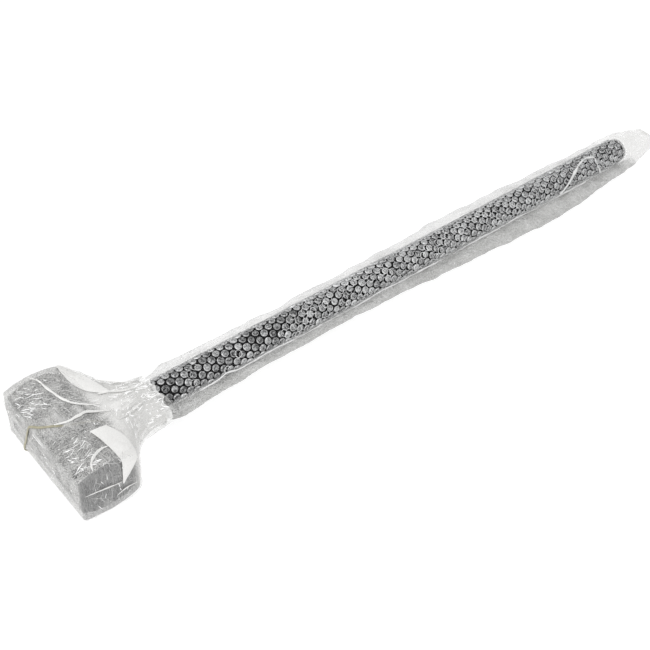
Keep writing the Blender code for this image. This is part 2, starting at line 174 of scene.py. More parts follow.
def even(table, step):
    """Rows of a table of stations, spaced evenly along the way they go."""
    table = np.asarray(table, float)
    reach = np.linalg.norm(np.diff(table[:, [0, 1, 3]], axis=0), axis=1)
    way = np.concatenate([[0.0], np.cumsum(reach)])
    count = int(way[-1] / step) + 1
    at = np.linspace(0.0, way[-1], count)
    out = np.stack([np.interp(at, way, table[:, k]) for k in range(table.shape[1])], 1)
    window = np.array([1.0, 2.0, 3.0, 2.0, 1.0]) / 9.0
    padded = np.concatenate([out[:1], out[:1], out, out[-1:], out[-1:]])
    soft = np.stack([np.convolve(padded[:, k], window, "valid") for k in range(table.shape[1])], 1)
    soft[0], soft[-1] = out[0], out[-1]
    return soft


SIDE_POINTS = 22
TOP_POINTS = 46


def quarter(half_y, half_z, power):
    """A quarter of a squared oval, from (half_y, 0) to just before (0, half_z), even along each of its edges."""
    turn = np.linspace(0.0, math.pi / 2, 361)
    y = half_y * np.cos(turn).clip(0, 1) ** (2 / power)
    z = half_z * np.sin(turn).clip(0, 1) ** (2 / power)
    parts = []
    for part, count in ((slice(0, 181), SIDE_POINTS), (slice(180, 361), TOP_POINTS)):
        py, pz = y[part], z[part]
        way = np.concatenate([[0.0], np.cumsum(np.hypot(np.diff(py), np.diff(pz)))])
        at = np.linspace(0.0, way[-1], count + 1)[:-1]
        parts.append(np.stack([np.interp(at, way, py), np.interp(at, way, pz)], 1))
    return np.concatenate(parts)


def oval(far, near, top, low, power):
    """A squared oval with its own reach on each side, as (y, z) points from +Y up over the top and round."""
    far_top = quarter(far, top, power)
    near_top = quarter(near, top, power)
    near_low = quarter(near, low, power)
    far_low = quarter(far, low, power)
    flip = lambda part, corner: np.concatenate([[corner], part[:0:-1]])
    return np.concatenate([
        far_top,
        flip(near_top, (0.0, top)) * (-1, 1),
        near_low * (-1, -1),
        flip(far_low, (0.0, low)) * (1, -1),
    ])


def loft(table, step, overlap=0):
    """A grid of points over ovals along the handle.  Columns: x, far, near, top, low, power, all in mm but power."""
    rows = even(table, step)
    grid = []
    for x, far, near, top, low, power in rows:
        section = oval(far, near, top, low, power)
        grid.append(np.concatenate([np.full((len(section), 1), x), section], 1))
    grid = np.asarray(grid) * MM
    if overlap:
        grid = np.concatenate([grid, grid[:, :overlap]], 1)
    return grid


# ---- materials ----------------------------------------------------------------------------------------------
def new_material(name):
    material = bpy.data.materials.new(name)
    material.use_nodes = True
    tree = material.node_tree
    shader = tree.nodes["Principled BSDF"]
    place = tree.nodes.new("ShaderNodeTexCoord").outputs["Object"]
    return material, tree, shader, place


def noise(tree, place, scale, detail=3.0, roughness=0.55, stretch=None):
    if stretch is not None:
        mapping = tree.nodes.new("ShaderNodeMapping")
        mapping.inputs["Scale"].default_value = stretch
        tree.links.new(place, mapping.inputs["Vector"])
        place = mapping.outputs["Vector"]
    node = tree.nodes.new("ShaderNodeTexNoise")
    node.inputs["Scale"].default_value = scale
    node.inputs["Detail"].default_value = detail
    node.inputs["Roughness"].default_value = roughness
    tree.links.new(place, node.inputs["Vector"])
    return node.outputs["Fac"]


def mapped(tree, value, low, high, to_low, to_high):
    node = tree.nodes.new("ShaderNodeMapRange")
    for socket, number in (("From Min", low), ("From Max", high), ("To Min", to_low), ("To Max", to_high)):
        node.inputs[socket].default_value = number
    tree.links.new(value, node.inputs["Value"])
    return node.outputs["Result"]


def maths(tree, operation, a, b):
    node = tree.nodes.new("ShaderNodeMath")
    node.operation = operation
    node.use_clamp = True
    for k, value in enumerate((a, b)):
        if isinstance(value, (int, float)):
            node.inputs[k].default_value = value
        else:
            tree.links.new(value, node.inputs[k])
    return node.outputs[0]


def tinted(tree, value, low_colour, high_colour):
    node = tree.nodes.new("ShaderNodeValToRGB")
    node.color_ramp.elements[0].color = (*low_colour, 1.0)
    node.color_ramp.elements[1].color = (*high_colour, 1.0)
    tree.links.new(value, node.inputs["Fac"])
    return node.outputs["Color"]


def bumped(tree, shader, value, strength, distance):
    node = tree.nodes.new("ShaderNodeBump")
    node.inputs["Strength"].default_value = strength
    node.inputs["Distance"].default_value = distance
    tree.links.new(value, node.inputs["Height"])
    tree.links.new(node.outputs["Normal"], shader.inputs["Normal"])


def solid_material(name, low_colour, high_colour, roughness, scale, metallic=0.0, grain=0.3, depth=0.0002):
    """An opaque material with colour mottle, roughness variation and fine grain."""
    material, tree, shader, place = new_material(name)
    mottle = noise(tree, place, scale)
    tree.links.new(tinted(tree, mottle, low_colour, high_colour), shader.inputs["Base Color"])
    tree.links.new(mapped(tree, mottle, 0.3, 0.7, roughness * 0.85, roughness * 1.1), shader.inputs["Roughness"])
    shader.inputs["Metallic"].default_value = metallic
    bumped(tree, shader, noise(tree, place, scale * 5.0), grain, depth)
    return material


def field(tree, name):
    node = tree.nodes.new("ShaderNodeAttribute")
    node.attribute_name = name
    return node.outputs["Fac"]


def foam_material(name, thin, thick, low_colour=(0.50, 0.50, 0.495), high_colour=(0.86, 0.855, 0.84), streak=None,
                  loose_colour=(0.86, 0.855, 0.84)):
    """Thin foam sheet: milky, with a fine fibrous mottle in how much it hides, whiter where it stands off."""
    material, tree, shader, place = new_material(name)
    cells = noise(tree, place, 800.0, 4.0, 0.75, streak)
    cloud = noise(tree, place, 70.0, 3.0, 0.6)
    both = maths(tree, "ADD", maths(tree, "MULTIPLY", cells, 0.80), maths(tree, "MULTIPLY", cloud, 0.20))
    mottle = mapped(tree, both, 0.42, 0.58, 0.0, 1.0)
    off = field(tree, "loose")
    mix = tree.nodes.new("ShaderNodeMix")
    mix.data_type = "RGBA"
    share, start, finish = mix.inputs[0], mix.inputs[6], mix.inputs[7]
    tree.links.new(mapped(tree, off, 0.0, 1.0, 0.0, 0.85), share)
    tree.links.new(tinted(tree, mottle, low_colour, high_colour), start)
    finish.default_value = (*loose_colour, 1.0)
    tree.links.new(mix.outputs[2], shader.inputs["Base Color"])
    hiding = mapped(tree, mottle, 0.0, 1.0, thin, thick)
    loose = maths(tree, "ADD", maths(tree, "MULTIPLY", off, 0.60),
                  maths(tree, "MULTIPLY", field(tree, "ridge"), 0.35))
    tree.links.new(maths(tree, "ADD", hiding, loose), shader.inputs["Alpha"])
    tree.links.new(mapped(tree, cells, 0.3, 0.7, 0.42, 0.62), shader.inputs["Roughness"])
    bumped(tree, shader, cells, 0.5, 0.0005)
    return material


def film_material(name, haze, crease_alpha, tone=(0.78, 0.78, 0.775), roughness=0.09, speckle=0.0, coarse=38.0):
    """Clear crinkled film: faintly hazy, whitened along its real creases (partly stress whitening, partly painted
    glints), with a hard gloss.
    """
    material, tree, shader, place = new_material(name)
    fold = field(tree, "ridge")
    cloud = noise(tree, place, coarse, 3.0, 0.6)
    grain = noise(tree, place, 480.0, 3.0, 0.7)
    veil = mapped(tree, cloud, 0.35, 0.65, haze * 0.8, haze * 1.2)
    specks = mapped(tree, grain, 0.45, 0.62, -speckle, speckle)
    # Along the creases (the ridge field) alpha and base colour both rise: partly real stress whitening, partly
    # painted highlight standing in for glints.
    alpha = maths(tree, "ADD", maths(tree, "ADD", veil, specks), maths(tree, "MULTIPLY", fold, crease_alpha))
    tree.links.new(alpha, shader.inputs["Alpha"])
    tree.links.new(tinted(tree, maths(tree, "ADD", fold, maths(tree, "MULTIPLY", grain, 0.4)),
                          tuple(0.80 * c for c in tone), tuple(min(1.0, 1.12 * c) for c in tone)),
                   shader.inputs["Base Color"])
    tree.links.new(mapped(tree, grain, 0.3, 0.7, roughness, roughness * 1.8), shader.inputs["Roughness"])
    shader.inputs["Specular IOR Level"].default_value = 1.0
    shader.inputs["Coat Weight"].default_value = 1.0
    shader.inputs["Coat Roughness"].default_value = 0.10
    return material


RUBBER = solid_material("rubber", (0.018, 0.018, 0.019), (0.042, 0.042, 0.044), 0.75, 260.0)
GRIP = solid_material("grip_rubber", (0.016, 0.016, 0.017), (0.036, 0.036, 0.038), 0.82, 420.0, grain=0.5)
JACKET = solid_material("jacket_plastic", (0.010, 0.010, 0.011), (0.022, 0.023, 0.024), 0.42, 180.0)
STEEL = solid_material("steel", (0.42, 0.43, 0.45), (0.62, 0.63, 0.65), 0.34, 300.0, metallic=1.0)
RESIN = solid_material("resin", (0.50, 0.38, 0.15), (0.70, 0.57, 0.29), 0.30, 120.0)
FIBRE = solid_material("glass_fibre", (0.60, 0.55, 0.38), (0.78, 0.74, 0.56), 0.45, 350.0)
BAND = solid_material("band_rubber", (0.24, 0.225, 0.15), (0.52, 0.49, 0.36), 0.50, 260.0)
for dark in (RUBBER, GRIP, JACKET):
    dark.node_tree.nodes["Principled BSDF"].inputs["Specular IOR Level"].default_value = 0.2

CAD_MATERIALS = {
    "head_block": RUBBER, "eye_plug": RUBBER, "butt_cap": RUBBER, "neck_collar": GRIP, "grip_sleeve": GRIP,
    "handle_jacket": JACKET, "eye_liner": STEEL, "potting_resin": RESIN, "handle_core": FIBRE,
}
for node, material in CAD_MATERIALS.items():
    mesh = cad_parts[node].data
    mesh.materials.clear()
    mesh.materials.append(material)

HEAD_FOAM = foam_material("head_foam", 0.34, 0.76, low_colour=(0.31, 0.31, 0.305), high_colour=(0.86, 0.855, 0.84))
END_FOAM = foam_material("end_foam", 0.42, 0.54, low_colour=(0.36, 0.36, 0.36), high_colour=(0.54, 0.54, 0.535),
                         streak=(1.0, 1.0, 0.12))
THICK_FOAM = foam_material("thick_foam", 0.78, 0.94, (0.78, 0.775, 0.76), (0.92, 0.915, 0.90))
HEAD_FILM = film_material("head_film", 0.09, 0.80, tone=(0.84, 0.84, 0.83), roughness=0.14)
# Painted highlight: near-white strips with a slight glow (emission) stand in for glints on the film.
GLINT = solid_material("film_painted_glint", (0.93, 0.93, 0.93), (0.98, 0.98, 0.98), 0.20, 200.0, grain=0.05)
GLINT.node_tree.nodes["Principled BSDF"].inputs["Emission Color"].default_value = (1.0, 1.0, 1.0, 1.0)
GLINT.node_tree.nodes["Principled BSDF"].inputs["Emission Strength"].default_value = 0.22
SLIT = solid_material("foam_slit", (0.015, 0.015, 0.015), (0.05, 0.05, 0.05), 0.80, 200.0)
SLEEVE_FAR = film_material("sleeve_far", 0.62, 0.30, tone=(0.92, 0.915, 0.905), roughness=0.22, speckle=0.10)
# The near-side sleeve is a darker copy of the far-side one. Its darker tone is painted shade beside the handle; its
# speckle is the film's own texture.
SLEEVE_NEAR_SHADED = film_material("sleeve_near_shaded", 0.64, 0.35, tone=(0.58, 0.58, 0.565), roughness=0.22, speckle=0.28)
SLEEVE_TAIL = film_material("sleeve_tail", 0.36, 0.30, tone=(1.0, 0.985, 0.96), roughness=0.22, speckle=0.08)
SLEEVE_CLEAR = film_material("sleeve_clear", 0.010, 0.60)
SLEEVE_FOLD = film_material("sleeve_fold", 0.80, 0.20, tone=(0.92, 0.92, 0.92))


def bubble_material(name, alpha_low, alpha_high, low_colour, high_colour, roughness, gloss):
    """Clear bubble film: patchy bright reflections painted into colour and alpha over the dark handle, each bubble
    with its own strength.
    """
    material, tree, shader, place = new_material(name)
    mottle = maths(tree, "ADD", maths(tree, "MULTIPLY", mapped(tree, noise(tree, place, 420.0, 3.0, 0.7), 0.38, 0.62,
                                                               0.0, 1.0), 0.65),
                   maths(tree, "MULTIPLY", field(tree, "shade"), 0.45))
    tree.links.new(tinted(tree, mottle, low_colour, high_colour), shader.inputs["Base Color"])
    tree.links.new(mapped(tree, mottle, 0.1, 0.9, alpha_low, alpha_high), shader.inputs["Alpha"])
    tree.links.new(mapped(tree, mottle, 0.3, 0.7, roughness * 0.7, roughness * 1.4), shader.inputs["Roughness"])
    shader.inputs["Specular IOR Level"].default_value = gloss
    return material


# Painted highlight: the bubbles' rims and the next turn's rings are bright white, and the dome tops carry grey
# painted reflections with lighter spots.
BUBBLE_RIM_HIGHLIGHT = bubble_material("bubble_rim_highlight", 0.50, 1.0, (0.42, 0.42, 0.425), (0.98, 0.985, 0.99), 0.14, 0.8)
BUBBLE_TOP = bubble_material("bubble_top", 0.14, 0.80, (0.12, 0.12, 0.125), (0.68, 0.69, 0.695), 0.08, 0.9)
BUBBLE_BACK = bubble_material("bubble_back", 0.40, 0.70, (0.003, 0.003, 0.003), (0.012, 0.012, 0.013), 0.30, 0.05)

# ---- bubble wrap --------------------------------------------------------------------------------------------
BACK_RADIUS = 15.7 * MM
TOP_RADIUS = 18.0 * MM
ROLL_START = 101.0 * MM
ROLL_END = 871.5 * MM
BUBBLE_PITCH = 10.5 * MM
BUBBLE_HALF = 4.45 * MM


def on_roll(x, around, radius):
    """A point on the roll: around is a distance along its skin at the bubbles' middle height."""
    angle = around / (0.5 * (BACK_RADIUS + TOP_RADIUS))
    return np.stack([x + 0 * angle, radius * np.cos(angle), radius * np.sin(angle)], -1)


def build_bubble_wrap():
    """Backing film wound once and a bit round the handle, a domed bubble at each place of its hexagons, and over them
    some rings of the next turn's bubbles, drawn as bright rims in painted highlight."""
    random = np.random.default_rng(11)
    points, faces, kinds, shades = [], [], [], []

    def add(grid_points, grid_quads, kind):
        start = sum(len(p) for p in points)
        points.append(grid_points)
        faces.extend((np.asarray(grid_quads) + start).tolist())
        kinds.extend([kind] * len(grid_quads))

    girth = math.pi * (BACK_RADIUS + TOP_RADIUS)
    rows, columns = 262, 56
    x = np.linspace(ROLL_START, ROLL_END, rows)[:, None]
    around = np.linspace(0.0, 1.12 * girth, columns)[None, :]
    turn = around / girth
    radius = BACK_RADIUS - 0.12 * MM + 0.30 * MM * np.clip(turn - 0.9, 0, 1) / 0.2
    back = on_roll(x + 0 * around, around + 0 * x, radius + 0 * x)
    back = back.reshape(-1, 3)
    lift = rough(back, ((9 * MM, 0.10 * MM),), 5)
    back[:, 1:] *= (1.0 + lift / BACK_RADIUS)[:, None]
    ragged = back[:, 0] < ROLL_START + 3 * MM
    back[ragged, 0] += 1.2 * MM * crumple(back[ragged] * (0, 1, 1), 5 * MM, 9)
    add(back, grid_faces(rows, columns), 2)
    shades.append(0.5 + 0.5 * crumple(back, 20 * MM, 7))

    count = 10
    row_step = BUBBLE_PITCH * math.sqrt(3) / 2
    lines = int((ROLL_END - ROLL_START - BUBBLE_PITCH) / row_step) + 1
    spokes = 14
    spin = np.arange(spokes) * 2 * math.pi / spokes
    profile = ((1.00, 0.02), (0.97, 0.50), (0.86, 0.84), (0.66, 0.97), (0.36, 1.0))
    for line in range(lines):
        for place in range(count):
            cx = ROLL_START + 0.47 * BUBBLE_PITCH + line * row_step + random.normal(0, 0.18 * MM)
            ca = (place + 0.5 * (line % 2)) * girth / count + line * 0.10 * MM + random.normal(0, 0.18 * MM)
            size = BUBBLE_HALF * random.uniform(0.88, 1.05)
            height = (TOP_RADIUS - BACK_RADIUS) * random.uniform(0.72, 1.0)
            dent = random.uniform(0, 2 * math.pi)
            slack = random.uniform(0.0, 0.35)
            rings = []
            for share, rise in profile:
                wave = 1.0 - slack * (1 - rise * 0.3) * 0.12 * np.cos(2 * (spin - dent))
                rings.append(on_roll(cx + size * share * wave * np.cos(spin), ca + size * share * wave * np.sin(spin),
                                     BACK_RADIUS + height * rise * (1 - 0.25 * slack * np.cos(spin - dent))))
            centre = on_roll(np.array([cx]), np.array([ca]), BACK_RADIUS + height * (1.0 - 0.15 * slack))
            cap = np.concatenate(rings + [centre])
            # Each bubble's strength of painted reflection and rim highlight is random, and a little stronger further
            # along the handle, where the wrap lies double.
            shades.append(np.full(len(cap), random.uniform(0.0, 1.0) + 0.25 * float(ramp(np.array(cx), 0.22, 0.40))))
            last = (len(profile) - 1) * spokes
            quads = grid_faces(len(profile), spokes, wrap=True)
            tip = [(last + k, last + (k + 1) % spokes, len(cap) - 1, len(cap) - 1) for k in range(spokes)]
            add(cap, quads[:2 * spokes], 0)
            start = len(faces)
            base = sum(len(p) for p in points) - len(cap)
            faces.extend((quads[2 * spokes:] + base).tolist())
            faces.extend([[base + a, base + b, base + c] for a, b, c, _ in tip])
            kinds.extend([1] * (len(faces) - start))
    # The next turn's bubbles are drawn only as their bright rims, in the rim material with painted highlight.
    for line in range(lines):
        for place in range(count):
            cx = ROLL_START + 0.84 * BUBBLE_PITCH + line * row_step + random.normal(0, 0.5 * MM)
            ca = (place + 0.5 * (line % 2) + 0.42) * girth / count - line * 0.16 * MM + random.normal(0, 0.5 * MM)
            seen = 0.25 + 0.65 * float(ramp(np.array(cx), 0.20, 0.40))
            if random.uniform() > seen or cx > ROLL_END - BUBBLE_HALF:
                continue
            wide = BUBBLE_HALF * random.uniform(0.85, 1.0)
            edges = [on_roll(cx + wide * share * np.cos(spin), ca + wide * share * np.sin(spin), TOP_RADIUS + rise)
                     for share, rise in ((1.0, 0.08 * MM), (0.92, 0.20 * MM), (0.84, 0.10 * MM))]
            ring = np.concatenate(edges)
            shades.append(np.full(len(ring), random.uniform(0.0, 1.3)))
            add(ring, grid_faces(3, spokes, wrap=True), 0)
    return add_mesh("bubble_wrap", np.concatenate(points), faces, "mallet",
                    [BUBBLE_RIM_HIGHLIGHT, BUBBLE_TOP, BUBBLE_BACK], kinds, fields={"shade": np.concatenate(shades)})


bubbles = build_bubble_wrap()
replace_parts(bubbles, "bubble_wrap_roll")

# ---- foam and film over the head ----------------------------------------------------------------------------
# Stations: x, reach to the far and near side, reach up and down, and how square the section is.  In mm.
FILM_STATIONS = (
    (-33.7, 1.0, 1.0, 1.0, 1.0, 40.0),
    (-33.9, 40.0, 40.0, 14.0, 14.0, 40.0),
    (-33.7, 78.0, 78.0, 28.6, 31.4, 40.0),
    (-32.6, 79.2, 79.2, 30.4, 33.0, 40.0),
    (-22.0, 79.2, 79.4, 34.2, 35.2, 40.0),
    (0.0, 79.2, 79.5, 37.2, 37.2, 36.0),
    (20.0, 79.2, 79.5, 35.0, 36.0, 30.0),
    (32.0, 79.0, 79.4, 32.0, 33.0, 22.0),
    (38.0, 77.5, 77.5, 31.0, 32.0, 12.0),
    (44.0, 73.0, 68.0, 30.5, 31.0, 6.0),
    (51.0, 60.0, 54.0, 30.0, 30.5, 3.8),
    (60.0, 45.0, 43.5, 28.5, 29.5, 2.8),
    (71.0, 37.0, 39.0, 26.5, 28.0, 2.4),
    (84.0, 31.0, 37.8, 24.2, 26.0, 2.1),
    (95.0, 27.5, 38.5, 22.0, 23.0, 2.0),
    (103.5, 26.0, 39.0, 20.4, 21.0, 2.0),
)
FOAM_STATIONS = (
    (-33.0, 1.0, 1.0, 1.0, 1.0, 40.0),
    (-33.1, 40.0, 40.0, 14.0, 14.0, 40.0),
    (-33.0, 77.4, 77.4, 28.0, 30.6, 40.0),
    (-31.8, 78.3, 78.3, 29.6, 32.2, 40.0),
    (-20.0, 78.4, 78.4, 33.8, 34.4, 40.0),
    (0.0, 78.4, 78.4, 36.4, 36.4, 40.0),
    (20.0, 78.4, 78.4, 34.2, 34.2, 36.0),
    (31.0, 78.3, 78.3, 30.8, 30.8, 26.0),
    (36.5, 77.0, 76.5, 29.8, 30.0, 14.0),
    (42.5, 71.5, 67.0, 29.4, 29.8, 6.5),
    (49.5, 58.0, 53.0, 28.8, 29.0, 4.0),
    (58.0, 44.0, 43.0, 27.2, 27.8, 2.8),
    (70.0, 35.5, 37.5, 25.0, 26.0, 2.4),
    (84.0, 29.0, 35.5, 22.4, 23.4, 2.1),
    (92.0, 26.0, 35.5, 20.8, 21.4, 2.0),
    (99.3, 23.0, 35.0, 19.4, 19.6, 2.0),
)


def turned_normals(grid):
    """Grid normals that point away from the middle of the head or handle."""
    normal = grid_normals(grid)
    outward = grid.copy()
    outward[..., 0] = np.clip(grid[..., 0], None, 0.0)
    flip = np.sign((normal * outward).sum(2).mean())
    return normal * (flip if flip else 1.0)


def strokes(grid, normal, clusters, seed):
    """Sharp pinched creases, painted glints and slits lying on a crumpled grid, as little ridged strips.  Clusters,
    in mm: low corner, high corner, how many, length, width, heading over the grid in degrees and how much the heading
    varies."""
    random = np.random.default_rng(seed)
    rows, columns = grid.shape[:2]
    points, faces, owner = [], [], []

    def sample(source, r, c):
        r, c = np.clip(r, 0, rows - 1.01), np.clip(c, 0, columns - 1.01)
        i, j = r.astype(int), c.astype(int)
        u, v = (r - i)[:, None], (c - j)[:, None]
        return ((source[i, j] * (1 - u) + source[i + 1, j] * u) * (1 - v)
                + (source[i, j + 1] * (1 - u) + source[i + 1, j + 1] * u) * v)

    for which, (low, high, count, length, width, heading, spread) in enumerate(clusters):
        inside = np.all((grid >= np.array(low) * MM) & (grid <= np.array(high) * MM), axis=2)
        picks = np.argwhere(inside)
        for _ in range(count if len(picks) else 0):
            row, column = picks[random.integers(len(picks))]
            turn = math.radians(heading + random.normal(0, spread))
            long = length * random.uniform(0.4, 1.3)
            wide = width * random.uniform(0.6, 1.25) * MM
            bend = random.normal(0, 0.14)
            at = np.linspace(0, 1, 9)
            bearing = turn + bend * at
            r = row + np.cos(bearing) * at * long / 1.35
            c = column + np.sin(bearing) * at * long / 1.7
            line, up = sample(grid, r, c), sample(normal, r, c)
            ahead = np.gradient(line, axis=0)
            ahead /= np.maximum(np.linalg.norm(ahead, axis=1, keepdims=True), 1e-9)
            across = np.cross(ahead, up)
            half = (0.5 * wide * np.sqrt(np.sin(math.pi * np.clip(at, 0.03, 0.97))))[:, None]
            start = sum(len(p) for p in points)
            points.append(np.stack([line - across * half + up * 0.12 * MM, line + up * 0.45 * MM,
                                    line + across * half + up * 0.12 * MM], 1).reshape(-1, 3))
            faces.extend((grid_faces(len(at), 3) + start).tolist())
            owner.extend([which] * (2 * (len(at) - 1)))
    return np.concatenate(points), np.asarray(faces), np.asarray(owner)


def with_strokes(flat, shape, normal, clusters, seed, values):
    """Points, faces, the cluster of each face (-1 on the grid itself) and fields of a crumpled grid with its pinched
    creases, painted glints and slits added."""
    extra, extra_faces, owner = strokes(flat.reshape(*shape, 3), normal.reshape(*shape, 3), clusters, seed)
    quads = grid_faces(*shape)
    faces = np.concatenate([quads, extra_faces + len(flat)])
    fields = {name: np.concatenate([value, np.full(len(extra), 0.5)]) for name, value in values.items()}
    return np.concatenate([flat, extra]), faces, np.concatenate([np.full(len(quads), -1), owner]), fields


# Painted highlights: clusters of bright strips on the head film that stand in for its glints.
FILM_GLINTS = (
    ((-32, 28, 28), (-12, 66, 40), 24, 10.0, 0.75, 35.0, 25.0),
    ((-31, -72, 28), (-2, -34, 40), 30, 9.0, 0.75, 15.0, 28.0),
    ((-30, -30, 30), (30, 72, 40), 26, 5.0, 0.5, 60.0, 60.0),
    ((-30, -78, 30), (30, -20, 40), 16, 5.0, 0.5, 10.0, 60.0),
    ((48, -45, 4), (106, 45, 40), 110, 9.0, 0.9, 20.0, 60.0),
    ((78, -38, 2), (108, 30, 30), 70, 7.0, 0.9, 30.0, 60.0),
    ((32, -60, 10), (60, 10, 40), 22, 8.0, 0.6, 10.0, 50.0),
    ((-34.5, -74, -26), (-33, 74, 28), 14, 8.0, 0.6, 80.0, 20.0),
    ((-22, -82, -26), (32, -78.5, 28), 12, 9.0, 0.55, 85.0, 20.0),
)
# Faint whitened creases in the film's own material: partly real stress whitening, partly painted highlight.
FILM_CREASES = (
    ((-32, -78, 28), (34, 78, 40), 46, 26.0, 0.8, 25.0, 40.0),
    ((-32, -78, 28), (34, 78, 40), 60, 12.0, 0.7, 80.0, 50.0),
    ((40, -60, 0), (104, 60, 40), 60, 18.0, 0.9, 5.0, 30.0),
    ((-34.5, -78, -28), (-33, 78, 30), 24, 14.0, 0.7, 70.0, 30.0),
    ((-30, -82, -28), (34, -78.5, 30), 26, 16.0, 0.7, 80.0, 25.0),
)


def wrap_head(stations, body_layers, gather, seed, overlap):
    """Grid, points, normals, crumple height and share of neck of a sheet wrapped over the head and neck."""
    grid = loft(stations, 1.35, overlap)
    flat = grid.reshape(-1, 3)
    normal = turned_normals(grid).reshape(-1, 3)
    x = flat[:, 0]
    neck = ramp(x, 30 * MM, 58 * MM)
    turn = np.arctan2(flat[:, 2], flat[:, 1])
    folds = np.stack([x * 0.22, 30 * MM * np.cos(turn), 30 * MM * np.sin(turn)], 1)
    lift = rough(flat, body_layers, seed)
    lift += neck * gather * crumple(folds, 9 * MM, seed + 50)
    lift += neck * gather * 0.5 * crumple(folds, 4.5 * MM, seed + 60)
    edge = np.zeros(grid.shape[:2])
    if overlap:
        edge[:, -overlap:] = 0.7 * MM * ramp(np.arange(overlap), 0, 3)
    return grid, flat, normal, lift + edge.reshape(-1), neck


grid, flat, normal, lift, neck = wrap_head(
    FOAM_STATIONS, ((30 * MM, 0.40 * MM), (11 * MM, 0.28 * MM)), 1.8 * MM, 21, 14)
outer_face = 1.0 - ramp(flat[:, 0], -33.6 * MM, -31.8 * MM)
fold = ridges(lift, grid.shape[:2], flat, 23, 86.0, 99.0)
patches = crumple(flat * (1.0, 0.6, 1.0), 22 * MM, 25) + 0.6 * crumple(flat, 9 * MM, 26)
loose = 0.16 * outer_face + ramp(flat[:, 0], 24 * MM, 44 * MM) + 0.18 * ramp(patches, -0.2, 1.0)
flat = flat + normal * (lift * (0.35 + 0.9 * neck))[:, None]
SLITS = (((30, 58, 27), (34, 74, 33), 5, 6.0, 1.1, 90.0, 20.0),
         ((-33, -70, 25), (-30, -62, 31), 4, 5.0, 1.0, 20.0, 20.0))
points, faces, owner, fields = with_strokes(
    flat, grid.shape[:2], normal, SLITS, 27, {"loose": np.clip(loose, 0, 1), "ridge": fold})
kind = np.where(owner >= 0, 2, np.abs(points[faces].mean(1)[:, 1]) > 76.5 * MM)
foam = add_mesh("head_foam", points, faces, "mallet", [HEAD_FOAM, END_FOAM, SLIT], kind, fields=fields)
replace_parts(foam, "head_foam_wrap", "neck_foam_wrap")

grid, flat, normal, lift, neck = wrap_head(
    FILM_STATIONS, ((26 * MM, 0.6 * MM), (10 * MM, 0.6 * MM), (4.5 * MM, 0.35 * MM)), 2.4 * MM, 77, 16)
fold = ridges(lift, grid.shape[:2], flat, 79, 88.0, 99.3)
flat = flat + normal * (np.maximum(lift, -0.8 * MM) * (0.55 + 0.45 * neck) + 0.2 * MM)[:, None]
hem = ramp(flat[:, 0], 92 * MM, 102 * MM)
flat[:, 0] += hem * 2.5 * MM * crumple(flat * (0.1, 1.0, 1.0), 8 * MM, 83)
gathered = hem * (0.55 + 0.35 * crumple(flat, 5 * MM, 85))
points, faces, owner, fields = with_strokes(
    flat, grid.shape[:2], normal, FILM_GLINTS + FILM_CREASES, 81, {"ridge": np.clip(fold * (0.6 + 0.5 * neck) + 0.20 * neck + gathered, 0, 1)})
# Strokes of the FILM_GLINTS clusters take the painted-glint material, and the faint crease strokes keep the film's
# own material.
kind = ((owner >= 0) & (owner < len(FILM_GLINTS))).astype(int)
film = add_mesh("clear_head_film", points, faces, "mallet", [HEAD_FILM, GLINT], kind, fields=fields)
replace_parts(film, "head_film")


# ---- folds, flaps and the rubber band -----------------------------------------------------------------------
def strip(name, path, width, height, body, material, seed, steps=70):
    """A soft low ridge along a smooth path of (x, y, z) points; where the path runs over an end face it turns to lie
    on that face.
    """
    path = np.asarray(path, float) * MM
    at = np.linspace(0, len(path) - 1, steps)
    line = np.stack([catmull(path[:, k], at) for k in range(3)], 1)
    ahead = np.gradient(line, axis=0)
    ahead /= np.linalg.norm(ahead, axis=1, keepdims=True)
    outward = line * (0.25, 0.15, 1.0)
    outward[:, 2] = np.where(np.abs(line[:, 1]) > 76.8 * MM, 0.0, outward[:, 2])
    outward[:, 1] = np.where(np.abs(line[:, 1]) > 76.8 * MM, line[:, 1], outward[:, 1])
    outward -= (outward * ahead).sum(1, keepdims=True) * ahead
    outward /= np.linalg.norm(outward, axis=1, keepdims=True)
    across = np.cross(ahead, outward)
    taper = np.sqrt(np.clip(np.sin(np.linspace(0.05, math.pi - 0.05, steps)), 0, 1))
    rows = []
    for share, rise in ((-1.0, 0.0), (-0.7, 0.55), (-0.25, 1.0), (0.2, 0.8), (0.6, 0.3), (1.0, 0.05)):
        wobble = 0.25 * width * crumple(line + share * 0.004, 7 * MM, seed)
        rows.append(line + across * ((share * width / 2 + wobble) * taper)[:, None]
                    + outward * (rise * height * taper)[:, None])
    grid = np.stack(rows, 1)
    count = len(grid.reshape(-1, 3))
    return add_mesh(name, grid.reshape(-1, 3), grid_faces(*grid.shape[:2]), body, [material],
                    fields={"loose": np.full(count, 0.2), "ridge": np.zeros(count)})


def catmull(values, at):
    """Smooth interpolation through values at 0, 1, 2, ..."""
    low = np.clip(np.floor(at).astype(int), 0, len(values) - 2)
    t = at - low
    p = np.concatenate([[2 * values[0] - values[1]], values, [2 * values[-1] - values[-2]]])
    a, b, c, d = p[low], p[low + 1], p[low + 2], p[low + 3]
    return 0.5 * ((2 * b) + (c - a) * t + (2 * a - 5 * b + 4 * c - d) * t ** 2 + (3 * b - a - 3 * c + d) * t ** 3)


